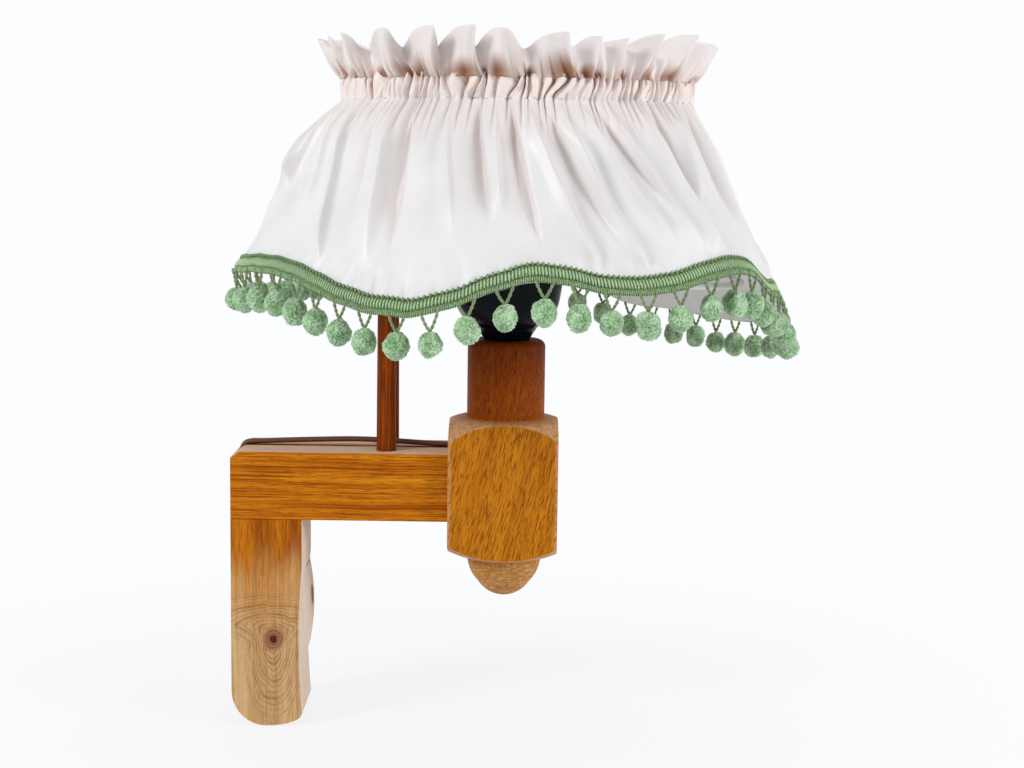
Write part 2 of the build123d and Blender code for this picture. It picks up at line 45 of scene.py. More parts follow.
# Shade dimensions in millimetres, as in the part's source
SHADE_X = 154.0
HEM_RADIUS = 149.0
HEM_CORNER = 3.5
RIB_COUNT = 6
RIB_TURN = 10.0
BRAID_WIDTH = 11.0
CHANNEL_RADIUS = 94.5
CHANNEL_BASE = 273.5
CHANNEL_HEIGHT = 10.0
FRILL_RADIUS = 102.0
POMPOM_COUNT = 54
POMPOM_TURN = 1.8
POMPOM_DROP = 14.5
POMPOM_RADIUS = 6.3
THREAD_SPREAD = 4.5
TUCK_COUNT = 132
CLOTH_THICKNESS = 0.7
FABRIC_COLUMNS = 1800
SKIRT_ROWS = 96
CHANNEL_ROWS = 18
FRILL_ROWS = 36
BRAID_RIBS = 570
COLUMNS_PER_RIB = 8
PILE_POINTS = 1350
STRAND_POINTS = 18
STRAND_RADIUS = 0.46
STRAND_APART = 0.42
STRAND_TWIST = 13
# Degrees by which the tucks lean across the channel, and how far their creases sway with it
TUCK_LEAN = 2.2
TUCK_SWAY = 0.9
HEM_HEIGHTS = [(0, 161.5), (28, 155), (58, 158), (80, 173), (110, 180), (146, 183), (180, 185.5),
               (211, 190), (249, 175), (275, 192.5), (292, 186), (317, 195), (338, 180), (360, 161.5)]
# Folds of the skirt on the near side: angle at the channel, angle and share of the height at the
# lower end, depth and half width
NEAR_FOLDS = [(205, 214, 0.3, 1.6, 7), (213, 226, 0.12, 2.4, 5), (224, 229, 0.5, -1.6, 4),
              (232, 238, 0.25, 2.6, 6), (238, 243, 0.3, -2.6, 5), (250, 257, 0.35, 1.3, 3),
              (258.5, 264, 0.4, -2.6, 4), (263.5, 267.5, 0.35, 2.0, 4), (268, 275, 0.2, -3.2, 4),
              (272.5, 287, 0.08, 3.2, 5), (277.5, 291, 0.3, -2.2, 5), (282, 297.5, 0.06, 3.2, 5),
              (288.5, 304, 0.25, 2.8, 4.5), (293, 306, 0.4, -1.8, 4), (297, 310, 0.2, 2.6, 4.5),
              (309, 315, 0.06, 2.8, 4.5), (315, 314, 0.4, -1.8, 4), (325, 314, 0.35, 2.4, 4)]
# Ruffles of the frill on the near side: angle, height, depth, half dip and lean of each crest
NEAR_RUFFLES = [(213, 306, 8, 4, 8), (231, 307, 9, 4.5, 9), (245.5, 307, 9, 4.5, 9),
                (257, 307.5, 8, 4, 8), (267, 307.5, 6, 4.5, 2), (284, 305, 7, 4.5, 1),
                (294, 304, 2.5, 1.2, 1), (301.5, 303.5, 3, 1.5, 2), (311, 306, 9, 4.5, 2),
                (325.5, 307, 8, 5, 5)]
# Hollows at the foot of the frill on the near side, dented in and darkened with painted shade: angle, half
# width, share of the height
NEAR_HOLLOWS = [(221, 1.6, 0.5), (233, 2.0, 0.6), (238, 2.6, 0.7), (253, 2.2, 0.5), (259, 1.4, 0.5),
                (263.5, 1.6, 0.6), (273, 2.2, 0.5), (281, 3.6, 0.75), (289, 2.6, 0.5), (293.5, 2.0, 0.35),
                (302, 2.0, 0.4), (311, 2.4, 0.4), (322, 2.0, 0.4)]


# Camera at the photograph's angle: place in metres, angles in degrees

CAMERA_PLACE = (0.1533, -1.0, 0.253)
CAMERA_PITCH = -7.64
CAMERA_ROLL = 0.8
CAMERA_LENS = 63.9
SENSOR_WIDTH = 36.0


def make_camera():
    data = bpy.data.cameras.new("camera")
    data.sensor_width = SENSOR_WIDTH
    data.lens = CAMERA_LENS
    camera = bpy.data.objects.new("camera", data)
    scene.collection.objects.link(camera)
    camera.location = CAMERA_PLACE
    pitch = Euler((math.radians(90 + CAMERA_PITCH), 0, 0)).to_matrix()
    roll = Euler((0, 0, math.radians(CAMERA_ROLL))).to_matrix()
    camera.rotation_euler = (pitch @ roll).to_euler()
    scene.camera = camera


# Helpers for meshes

def smooth_step(low, high, value):
    share = np.clip((value - low) / (high - low), 0.0, 1.0)
    return share * share * (3.0 - 2.0 * share)


def new_mesh(name, points, faces, attributes=None, smooth=True):
    """Mesh object from points in millimetres, with one number per point for each attribute."""
    mesh = bpy.data.meshes.new(name)
    mesh.from_pydata((np.asarray(points) * MM).tolist(), [], faces)
    for key, values in (attributes or {}).items():
        layer = mesh.attributes.new(key, "FLOAT", "POINT")
        layer.data.foreach_set("value", np.asarray(values, dtype=np.float32).ravel())
    mesh.polygons.foreach_set("use_smooth", [smooth] * len(mesh.polygons))
    mesh.update()
    made = bpy.data.objects.new(name, mesh)
    scene.collection.objects.link(made)
    return made


def grid_faces(rows, columns, wrap_rows=False):
    """Quads of a grid that closes on itself along its columns, and along its rows if asked."""
    faces = []
    for row in range(rows if wrap_rows else rows - 1):
        low = row * columns
        high = (row + 1) % rows * columns
        for column in range(columns):
            after = (column + 1) % columns
            faces.append((low + column, low + after, high + after, high + column))
    return faces


def dress(piece, body, slot, material, *replaced):
    piece.data.materials.append(material)
    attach(piece, body)
    if replaced:
        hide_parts(*replaced)


# Helpers for materials

class Paint:
    """A node material with one Principled shader."""

    def __init__(self, name, **sockets):
        self.material = bpy.data.materials.new(name)
        self.material.use_nodes = True
        self.tree = self.material.node_tree
        self.shader = self.tree.nodes["Principled BSDF"]
        for key, value in sockets.items():
            self.shader.inputs[key.replace("_", " ")].default_value = value

    def feed(self, socket, value):
        if isinstance(value, bpy.types.NodeSocket):
            self.tree.links.new(value, socket)
        else:
            socket.default_value = value

    def add(self, kind, inputs=None, **settings):
        made = self.tree.nodes.new("ShaderNode" + kind)
        for key, value in settings.items():
            setattr(made, key, value)
        for key, value in (inputs or {}).items():
            self.feed(made.inputs[key], value)
        return made

    def set(self, name, value):
        self.feed(self.shader.inputs[name], value)

    def place(self):
        return self.add("TexCoord").outputs["Object"]

    def split(self, vector):
        return self.add("SeparateXYZ", {0: vector}).outputs

    def normal(self):
        return self.split(self.add("NewGeometry").outputs["Normal"])

    def attribute(self, name):
        return self.add("Attribute", attribute_name=name).outputs["Fac"]

    def scaled(self, vector, scale):
        return self.add("Mapping", {"Vector": vector, "Scale": scale}).outputs[0]

    def noise(self, vector, scale=1.0, detail=3.0, rough=0.55):
        inputs = {"Vector": vector, "Scale": scale, "Detail": detail, "Roughness": rough}
        return self.add("TexNoise", inputs).outputs["Fac"]

    def math(self, operation, a, b=0.0, c=0.0):
        return self.add("Math", {0: a, 1: b, 2: c}, operation=operation).outputs[0]

    def length(self, a, b):
        squares = [self.math("POWER", side, 2.0) for side in (a, b)]
        return self.math("SQRT", self.math("ADD", *squares))

    def waves(self, value, pitch):
        return self.math("SINE", self.math("MULTIPLY", value, 2 * math.pi / pitch))

    def span(self, value, low, high, to_low=0.0, to_high=1.0):
        inputs = {"Value": value, "From Min": low, "From Max": high, "To Min": to_low, "To Max": to_high}
        return self.add("MapRange", inputs, interpolation_type="SMOOTHSTEP").outputs["Result"]

    def mix(self, share, a, b, blend="MIX"):
        made = self.add("Mix", data_type="RGBA", blend_type=blend)
        self.feed(made.inputs[0], share)
        for socket, value in ((made.inputs[6], a), (made.inputs[7], b)):
            self.feed(socket, value if isinstance(value, bpy.types.NodeSocket) else (*value, 1.0))
        return made.outputs[2]

    def bump(self, height, distance, strength=1.0):
        inputs = {"Height": height, "Distance": distance, "Strength": strength}
        self.set("Normal", self.add("Bump", inputs).outputs[0])


# Wood, with places in metres

OAK_GLOSS = 0.08
LINE_SPAN = (0.53, 0.61)
PORE_SPAN = (0.53, 0.6)
HEAD_X = 0.149
NECK_FOOT = (0.0985, 0.103)
# Heights over which the neck darkens towards its top: painted shade under the cup and the lampshade
NECK_STAIN_AND_SHADE = (0.105, 0.145)
BLOCK_EDGE = (0.0272, 0.0298)
DOME_EDGE = (0.0225, 0.0205)
KNOT_X = 0.0232
KNOT_Z = -0.0225
MARK_Y = 0.011
MARK_Z = -0.005


def oak_grain(paint, place, along, slant=0.0, bend=0.005):
    """Broad streaks, long lines and short pores of oak, its grain along X or Z of the part."""
    sway = paint.add("TexNoise", {"Vector": place, "Scale": 12.0, "Detail": 2.0}).outputs["Color"]
    inputs = {0: sway, 1: (bend, bend, bend), 2: place}
    bent = paint.add("VectorMath", inputs, operation="MULTIPLY_ADD").outputs[0]
    bent = paint.add("Mapping", {"Vector": bent, "Rotation": (0, math.radians(slant), 0)}).outputs[0]

    def drawn(lengthwise, across, detail):
        scale = (lengthwise, across, across) if along == "X" else (across, across, lengthwise)
        return paint.noise(paint.scaled(bent, scale), 1.0, detail, 0.6)

    return drawn(6, 420, 5.0), drawn(9, 950, 2.0), drawn(135, 1900, 2.0)


def oak_relief(paint, grain, lines, pores):
    """Lines and pores of a grain at their strength, sunk a little into the surface."""
    streak, thread, pore = grain
    thread = paint.math("MULTIPLY", paint.span(thread, *LINE_SPAN), lines)
    pore = paint.math("MULTIPLY", paint.span(pore, *PORE_SPAN), pores)
    grooves = paint.math("ADD", thread, pore)
    paint.bump(paint.math("SUBTRACT", paint.math("MULTIPLY", streak, 0.3), grooves), 0.0002, 0.5)
    return thread, pore


def oak(name, along, light, dark, line, lines=0.7, pores=0.3, slant=0.0, bend=0.005):
    """Stained oak. Returns the paint, its place and its colour, for more to be laid over it."""
    paint = Paint(name, Roughness=0.5, Specular_IOR_Level=OAK_GLOSS)
    place = paint.place()
    grain = oak_grain(paint, place, along, slant, bend)
    thread, pore = oak_relief(paint, grain, lines, pores)
    colour = paint.mix(paint.span(grain[0], 0.32, 0.68), dark, light)
    colour = paint.mix(thread, colour, line)
    colour = paint.mix(pore, colour, line)
    cloud = paint.noise(place, 26.0, 2.0)
    colour = paint.mix(paint.span(cloud, 0.3, 0.7, 0.0, 0.3), colour, (0.7, 0.5, 0.4), "MULTIPLY")
    return paint, place, colour


def arm_wood():
    """Oak with its grain along the arm, painted pale on top as a painted reflection of the bright
    surroundings.
    """
    paint, place, colour = oak("arm_oak", "X", (0.72, 0.265, 0.008), (0.45, 0.11, 0.0), (0.2, 0.036, 0.0),
                               pores=0.45, bend=0.003)
    top_sheen = paint.mix(paint.noise(place, 500.0, 2.0), (0.63, 0.43, 0.29), (0.82, 0.64, 0.49))
    # Upward faces are mixed towards a pale colour: painted reflection of the bright surroundings
    up = paint.span(paint.normal()[2], 0.3, 0.9, 0.0, 0.8)
    paint.set("Base Color", paint.mix(up, colour, top_sheen))
    return paint.material


def dowel_wood():
    paint, _, colour = oak("dowel_oak", "Z", (0.36, 0.07, 0.001), (0.14, 0.022, 0.0), (0.07, 0.01, 0.0))
    paint.set("Base Color", colour)
    return paint.material


def head_wood():
    """Slanting pores on the block; stain on the neck, painted darker towards its top as shade under the
    cup; wear on the shoulders, edges and dome, partly painted highlight on the shoulders.
    """
    paint, place, colour = oak("head_oak", "Z", (0.61, 0.225, 0.01), (0.5, 0.16, 0.004),
                               (0.22, 0.055, 0.001), 0.25, 0.9, slant=-13.0)
    axes = paint.split(place)
    neck = paint.span(axes[2], *NECK_FOOT)
    # The neck is darkened: partly its own darker stain, partly painted shade under the cup and lampshade,
    # more so towards its top
    stain_and_shade = paint.mix(paint.span(axes[2], *NECK_STAIN_AND_SHADE), (0.6, 0.36, 0.1), (0.37, 0.2, 0.04))
    colour = paint.mix(neck, colour, paint.mix(1.0, colour, stain_and_shade, "MULTIPLY"))
    fleck = paint.noise(paint.scaled(place, (900, 900, 250)), 1.0, 3.0)
    pale_wear_and_sheen = paint.mix(fleck, (0.78, 0.54, 0.33), (0.5, 0.25, 0.09))
    # Faces of the block that look up or down are paled: partly wear, partly painted highlight on the
    # rounded shoulders
    upright = paint.math("ABSOLUTE", paint.normal()[2])
    shoulder_sheen_and_wear = paint.math("MULTIPLY", paint.span(upright, 0.2, 0.7), paint.math("SUBTRACT", 1.0, neck))
    aside = paint.math("ABSOLUTE", paint.math("SUBTRACT", axes[0], HEAD_X))
    corner = paint.span(paint.math("MINIMUM", aside, paint.math("ABSOLUTE", axes[1])), *BLOCK_EDGE)
    dome = paint.span(axes[2], *DOME_EDGE)
    rings = paint.noise(paint.scaled(place, (260, 260, 1500)), 1.0, 3.0)
    golden = paint.mix(paint.span(rings, 0.4, 0.62), (0.68, 0.42, 0.19), (0.42, 0.19, 0.05))
    pale_wear_and_sheen = paint.mix(dome, pale_wear_and_sheen, golden)
    edge = paint.math("MAXIMUM", shoulder_sheen_and_wear, paint.math("MULTIPLY", corner, 0.7))
    wear_and_sheen = paint.math("MAXIMUM", edge, paint.math("MULTIPLY", dome, 0.8))
    patchy = paint.span(paint.noise(place, 420.0, 4.0), 0.34, 0.6, 0.3, 0.9)
    colour = paint.mix(paint.math("MULTIPLY", wear_and_sheen, patchy), colour, pale_wear_and_sheen)
    paint.set("Base Color", colour)
    return paint.material


def knotty(paint, place, axes, pale):
    """Pale wood with a knot in the side faces and growth lines bent round it."""
    waver = paint.math("MULTIPLY", paint.math("SUBTRACT", paint.noise(place, 50.0, 4.0), 0.5), 0.008)
    across = paint.math("ADD", paint.math("SUBTRACT", axes[0], KNOT_X), waver)
    upward = paint.math("ADD", paint.math("SUBTRACT", axes[2], KNOT_Z), waver)
    above = paint.span(upward, -0.003, 0.01)
    narrow = paint.math("ADD", 1.55, paint.math("MULTIPLY", above, -1.0))
    tall = paint.math("ADD", 0.6, paint.math("MULTIPLY", above, 0.45))
    ring = paint.length(paint.math("MULTIPLY", across, narrow), paint.math("MULTIPLY", upward, tall))
    fine_lines = paint.math("MULTIPLY", paint.span(paint.waves(ring, 0.002), -0.1, 1.0), 0.6)
    broad_lines = paint.math("MULTIPLY", paint.span(paint.waves(ring, 0.0063), -0.4, 1.0), 0.3)
    near = paint.span(ring, 0.036, 0.018)
    broken = paint.span(paint.noise(place, 130.0, 3.0), 0.3, 0.6, 0.3, 1.0)
    lines = paint.math("MULTIPLY", paint.math("ADD", fine_lines, broad_lines), near)
    lines = paint.math("MULTIPLY", lines, broken)
    pale = paint.mix(lines, pale, (0.3, 0.145, 0.05))
    from_knot = paint.length(paint.math("MULTIPLY", across, 1.15), upward)
    knot_rings = paint.span(paint.waves(from_knot, 0.0015), -0.7, 0.8)
    knot = paint.mix(knot_rings, (0.38, 0.17, 0.085), (0.2, 0.068, 0.034))
    pale = paint.mix(paint.span(from_knot, 0.0078, 0.0048, 0.0, 0.9), pale, knot)
    return paint.mix(paint.span(from_knot, 0.0033, 0.0018), pale, (0.06, 0.016, 0.01))


def post_wood():
    """Pale oak with a knot in the side faces, a mark in front and stain that fades from the top; the front
    is painted paler as a painted reflection of the bright surroundings.
    """
    paint = Paint("post_oak", Roughness=0.58, Specular_IOR_Level=OAK_GLOSS)
    place = paint.place()
    axes = paint.split(place)
    streak, thread, pore = oak_grain(paint, place, "Z")
    oak_relief(paint, (streak, thread, pore), 0.7, 0.3)
    thread = paint.span(thread, 0.52, 0.7)
    pore = paint.span(pore, *PORE_SPAN)
    pale_line = (0.3, 0.14, 0.045)
    stained_line = (0.2, 0.04, 0.0)
    pale = paint.mix(paint.span(streak, 0.3, 0.7), (0.5, 0.28, 0.1), (0.7, 0.46, 0.24))
    pale = paint.mix(paint.math("MULTIPLY", thread, 0.35), pale, pale_line)
    pale = knotty(paint, place, axes, pale)
    pale = paint.mix(paint.math("MULTIPLY", pore, 0.22), pale, pale_line)
    ragged = paint.noise(paint.scaled(place, (120, 120, 12)), 1.0, 6.0, 0.65)
    level = paint.math("ADD", axes[2], paint.math("MULTIPLY", paint.math("SUBTRACT", ragged, 0.5), 0.07))
    stained = paint.mix(paint.span(ragged, 0.35, 0.65), (0.25, 0.048, 0.0), (0.56, 0.175, 0.005))
    stained = paint.mix(paint.math("MULTIPLY", thread, 0.6), stained, stained_line)
    stained = paint.mix(paint.math("MULTIPLY", pore, 0.5), stained, stained_line)
    golden = paint.span(level, -0.026, 0.01, 0.0, 0.8)
    side = paint.mix(golden, pale, (0.92, 0.7, 0.4), "MULTIPLY")
    side = paint.mix(paint.span(level, 0.004, 0.037), side, stained)
    # The front (+X) face is painted much paler than the other faces, as painted reflection of the bright
    # surroundings
    front = paint.mix(paint.span(streak, 0.3, 0.7), (0.74, 0.58, 0.45), (0.84, 0.71, 0.6))
    mark_tall = paint.math("MULTIPLY", paint.math("SUBTRACT", axes[2], MARK_Z), 0.8)
    mark = paint.length(paint.math("SUBTRACT", axes[1], MARK_Y), mark_tall)
    front = paint.mix(paint.span(mark, 0.014, 0.004, 0.0, 0.5), front, (0.6, 0.38, 0.22))
    front = paint.mix(paint.span(mark, 0.0052, 0.0038), front, (0.2, 0.085, 0.045))
    colour = paint.mix(paint.span(paint.normal()[0], 0.2, 0.45), side, front)
    paint.set("Base Color", colour)
    return paint.material


# Metal, plastic and glass

def speckled(name, colour, other, rough, scale=350.0, bump=0.00003, **sockets):
    """Plain stuff whose tone and roughness vary a little."""
    paint = Paint(name, **sockets)
    cloud = paint.noise(paint.place(), scale, 4.0)
    paint.set("Base Color", paint.mix(cloud, colour, other))
    paint.set("Roughness", paint.span(cloud, 0.2, 0.8, rough * 0.75, rough * 1.25))
    paint.bump(cloud, bump, 0.5)
    return paint.material


def opal_glass():
    paint = Paint("opal_glass", Roughness=0.25, Transmission_Weight=0.55, IOR=1.45)
    cloud = paint.noise(paint.place(), 60.0, 2.0)
    paint.set("Base Color", paint.mix(cloud, (0.93, 0.92, 0.89), (0.97, 0.96, 0.94)))
    return paint.material


def flex_sheath():
    paint = Paint("flex_sheath", Roughness=0.45)
    place = paint.place()
    weave = paint.noise(paint.scaled(place, (900, 2600, 2600)), 1.0, 2.0)
    paint.set("Base Color", paint.mix(weave, (0.16, 0.05, 0.012), (0.055, 0.014, 0.003)))
    paint.bump(weave, 0.0001, 0.5)
    return paint.material


# Cloth and trim

def satin():
    paint = Paint("satin", Specular_IOR_Level=0.42, Sheen_Weight=0.25, Sheen_Roughness=0.4)
    uv = paint.add("UVMap", uv_map="cloth").outputs[0]
    thread = paint.noise(paint.scaled(uv, (4200, 900, 1)), 1.0, 2.0)
    place = paint.place()
    cloud = paint.noise(place, 22.0, 3.0)
    tint = paint.attribute("pink")
    colour = paint.mix(paint.span(cloud, 0.3, 0.7), (0.80, 0.782, 0.79), (0.86, 0.85, 0.855))
    colour = paint.mix(tint, colour, (0.88, 0.765, 0.715))
    axes = paint.split(place)
    facing = paint.normal()
    along = paint.math("MULTIPLY", paint.math("SUBTRACT", axes[0], SHADE_X * MM), facing[0])
    outward = paint.math("MULTIPLY_ADD", axes[1], facing[1], along)
    # The stored darkening of fold valleys, tuck creases and frill hollows mixes in brown: painted shade,
    # weaker on the cloth's inner side
    painted_shade = paint.math("MULTIPLY", paint.attribute("painted_shade"), paint.span(outward, -0.01, 0.01, 0.3, 1.0))
    colour = paint.mix(painted_shade, colour, (0.3, 0.125, 0.06))
    paint.set("Base Color", colour)
    paint.set("Roughness", paint.span(thread, 0.2, 0.8, 0.34, 0.46))
    paint.bump(thread, 0.00006, 0.35)
    return paint.material


def braid_yarn():
    paint = Paint("braid_yarn", Roughness=0.8, Sheen_Weight=0.3, Sheen_Roughness=0.5)
    fuzz = paint.noise(paint.place(), 1100.0, 4.0)
    tone = paint.attribute("tone")
    tone = paint.math("ADD", tone, paint.span(fuzz, 0.25, 0.75, -0.25, 0.2))
    colour = paint.mix(paint.span(tone, 0.0, 0.5), (0.03, 0.075, 0.018), (0.215, 0.35, 0.15))
    colour = paint.mix(paint.span(tone, 0.5, 1.0), colour, (0.51, 0.67, 0.41))
    paint.set("Base Color", colour)
    paint.bump(fuzz, 0.0003, 0.6)
    return paint.material


def pompom_wool():
    paint = Paint("pompom_wool", Roughness=0.9, Specular_IOR_Level=0.2, Sheen_Weight=1.0,
                  Sheen_Roughness=0.4, Sheen_Tint=(0.88, 0.96, 0.84, 1.0))
    fuzz = paint.noise(paint.place(), 1500.0, 3.0)
    tone = paint.math("ADD", paint.attribute("tone"), paint.span(fuzz, 0.2, 0.8, -0.2, 0.2))
    colour = paint.mix(paint.span(tone, 0.0, 0.5), (0.14, 0.3, 0.11), (0.52, 0.75, 0.48))
    colour = paint.mix(paint.span(tone, 0.5, 1.0), colour, (0.88, 0.95, 0.84))
    colour = paint.mix(paint.attribute("olive"), colour, (0.15, 0.2, 0.06))
    paint.set("Base Color", colour)
    paint.bump(fuzz, 0.0005, 0.6)
    return paint.material


# Line of the shade

def hem_height(angle):
    """Height of the braid's middle, eased from one given height to the next."""
    angle = np.mod(angle, 360.0)
    height = np.zeros_like(angle)
    for (start, low), (end, high) in zip(HEM_HEIGHTS, HEM_HEIGHTS[1:]):
        inside = (angle >= start) & (angle <= end)
        share = (1 - np.cos(np.pi * (angle - start) / (end - start))) / 2
        height = np.where(inside, low + share * (high - low), height)
    return height


def hem_reach(angle):
    return HEM_RADIUS + HEM_CORNER * np.cos(np.radians(RIB_COUNT * (angle - RIB_TURN)))


def flank(angle, rise):
    """Radius and height on the skirt, a given height above the hem's lower edge."""
    low = hem_height(angle) - BRAID_WIDTH / 2
    share = rise / (CHANNEL_BASE - low)
    return hem_reach(angle) + share * (CHANNEL_RADIUS - hem_reach(angle)), low + rise


def shade_points(radius, angle, height):
    turn = np.radians(angle)
    radius, turn, height = np.broadcast_arrays(radius, turn, height)
    return np.stack([SHADE_X + radius * np.cos(turn), radius * np.sin(turn), height], axis=-1)


def uneven_tucks(angle, count, seed):
    """Phase of tucks of uneven width round the shade, and their uneven depth."""
    chance = np.random.default_rng(seed)
    widths = chance.uniform(0.45, 1.55, count)
    edges = np.concatenate([[0], np.cumsum(widths)]) * 360 / widths.sum()
    depths = chance.uniform(0.45, 1.35, count)
    phase = np.interp(np.mod(angle, 360), edges, 2 * np.pi * np.arange(count + 1))
    return phase, np.interp(np.mod(angle, 360), edges, np.append(depths, depths[0]))


def crisp(phase):
    """Round crests with sharp creases between them, from -1 to 1."""
    return 2 * np.abs(np.sin(phase / 2)) ** 0.75 - 1


def skirt_folds():
    """Folds all round the skirt: those of the near side and others like them."""
    chance = np.random.default_rng(8)
    folds = list(NEAR_FOLDS)
    for top in np.arange(334, 563, 7.5):
        sign = -0.7 if chance.uniform() < 0.35 else 1.0
        top = top + chance.uniform(-2.5, 2.5)
        low = top + chance.uniform(-7, 7)
        end = chance.uniform(0.05, 0.5)
        depth = sign * chance.uniform(1.6, 3.2)
        folds.append((top, low, end, depth, chance.uniform(3.5, 7)))
    return folds


def fold_depth(angle, share, folds):
    """Distance that the folds lift the skirt, at a share of its height."""
    total = np.zeros_like(angle)
    for top, low, end, depth, width in folds:
        middle = top + (low - top) * (1 - share) / (1 - end)
        radius = HEM_RADIUS + share * (CHANNEL_RADIUS - HEM_RADIUS)
        across = np.radians(np.mod(angle - middle + 180, 360) - 180) * radius
        wide = width * (0.5 + 0.7 * (1 - share))
        wide = np.where(across > 0, 0.46 * wide, 1.5 * wide)
        height = 2.1 * depth * smooth_step(end - 0.1, end + 0.22, share)
        height = height * (1 - 0.85 * smooth_step(0.75, 1.0, share))
        total = total + height * np.exp(-np.abs(across / wide) ** 1.4)
    return total


def ruffles(angle):
    """Phase of the frill's ruffles, and the height, depth, half dip and lean of their crests."""
    chance = np.random.default_rng(5)
    near = np.array(NEAR_RUFFLES, dtype=float)
    others = 18
    widths = chance.uniform(0.7, 1.3, others + 1)
    room = near[0, 0] + 360 - near[-1, 0]
    places = near[-1, 0] + np.cumsum(widths)[:-1] / widths.sum() * room
    lowest = near[:, 1:].min(axis=0)
    highest = near[:, 1:].max(axis=0)
    further = np.column_stack([places, chance.uniform(lowest, highest, (others, len(lowest)))])
    further[:, 4] *= 0.6
    rows = np.concatenate([near, further])
    leaned = np.degrees(rows[:, 4].mean() / FRILL_RADIUS)
    unrolled = rows[0, 0] + np.mod(angle + leaned - rows[0, 0], 360)
    crests = np.append(rows[:, 0], rows[0, 0] + 360)
    phase = 2 * np.pi * np.interp(unrolled, crests, np.arange(len(crests)))
    traits = [np.interp(unrolled, crests, np.append(column, column[0])) for column in rows[:, 1:].T]
    return (phase, *traits)


def frill_hollows():
    """Hollows all round the foot of the frill: those of the near side and others like them."""
    chance = np.random.default_rng(29)
    hollows = list(NEAR_HOLLOWS)
    for middle in np.arange(332, 572, 9.0):
        hollows.append((middle + chance.uniform(-3, 3), chance.uniform(1.4, 3.2), chance.uniform(0.3, 0.7)))
    return hollows


def hollow_shade(angle, share, hollows):
    """Darkness of the hollows as painted shade, at a share of the frill's height."""
    total = np.zeros_like(angle)
    for middle, width, end in hollows:
        aside = (np.mod(angle - middle + 180, 360) - 180) / (width * (1.35 - 0.5 * share))
        total = np.maximum(total, np.exp(-aside ** 2) * smooth_step(end, 0.25 * end, share))
    return total


def ripple(angle, height, count, seed, around, upward):
    """Sum of a count of soft waves from a seed, with ranges for their turns around and their rise."""
    chance = np.random.default_rng(seed)
    total = np.zeros(np.broadcast(angle, height).shape)
    for _ in range(count):
        turns = chance.integers(around[0], around[1])
        rise = chance.uniform(*upward)
        total = total + np.cos(np.radians(angle) * turns + height * rise + chance.uniform(0, 6.28))
    return total / math.sqrt(count)


def in_order(turn):
    """Turns all round the shade, kept from running back over each other."""
    step = np.diff(np.append(turn, turn[0] + 360))
    step = np.maximum(step, 0.3 * step.mean())
    eased = np.append(0, np.cumsum(step * 360 / step.sum())[:-1])
    return eased + (turn - eased).mean()


class Gathers:
    """Tucks of the channel: angle of each column, and the tucks' phase, depth, slant and shift there."""

    def __init__(self):
        self.angle = np.arange(FABRIC_COLUMNS) * 360 / FABRIC_COLUMNS
        self.tuck, self.depth = uneven_tucks(self.angle, TUCK_COUNT, 11)
        self.slant = ripple(self.angle, 0.0, 6, 41, (9, 33), (0, 0))
        self.shift = in_order(self.angle + TUCK_LEAN * self.slant) - self.angle

    def swayed(self, share):
        return crisp(self.tuck + TUCK_SWAY * self.slant * share)


def skirt_rows(gathers):
    """Points, pink and painted shade of each row of the skirt, from the hem up."""
    angle = gathers.angle
    tucks = crisp(gathers.tuck)
    folds = skirt_folds()
    low = hem_height(angle) - BRAID_WIDTH / 2
    slack = 1.5 + 1.5 * np.cos(np.radians(angle - 195))
    for share in np.linspace(0, 1, SKIRT_ROWS):
        radius, height = flank(angle, share * (CHANNEL_BASE - low))
        lift = fold_depth(angle, share, folds) * smooth_step(0.08, 0.22, share)
        hollow = smooth_step(1.0, -3.0, lift)
        steep = np.abs(np.gradient(lift)) / (np.pi * radius / FABRIC_COLUMNS)
        wrinkle = 0.3 * ripple(angle, height, 9, 21, (14, 60), (-0.09, 0.09))
        lift = lift + wrinkle * smooth_step(0.02, 0.2, share)
        crinkle = 0.45 * ripple(angle, height, 7, 23, (60, 130), (-0.3, 0.3))
        lift = lift + crinkle * smooth_step(0.26, 0.08, share)
        gathered = smooth_step(0.66, 1.0, share) ** 1.8
        lift = lift + 1.1 * gathered * gathers.depth * tucks - 0.8 * gathered
        lift = lift + slack * smooth_step(0.5, 0.86, share) * smooth_step(1.0, 0.9, share)
        points = shade_points(radius + np.maximum(lift, -4.0), angle, height)
        # In fold valleys the extra pink and darkening are painted shade, as is the darkening of steep fold
        # sides and of tuck creases near the channel
        pink = 0.25 * smooth_step(0.1, 0.6, share) * hollow + 0.35 * smooth_step(0.7, 1.0, share)
        crease = 0.4 * smooth_step(0.78, 1.0, share) * smooth_step(0.1, -0.95, tucks)
        edge = 0.09 * smooth_step(0.5, 2.4, steep)
        yield points, pink, crease + (0.1 * hollow + edge) * smooth_step(0.1, 0.5, share)


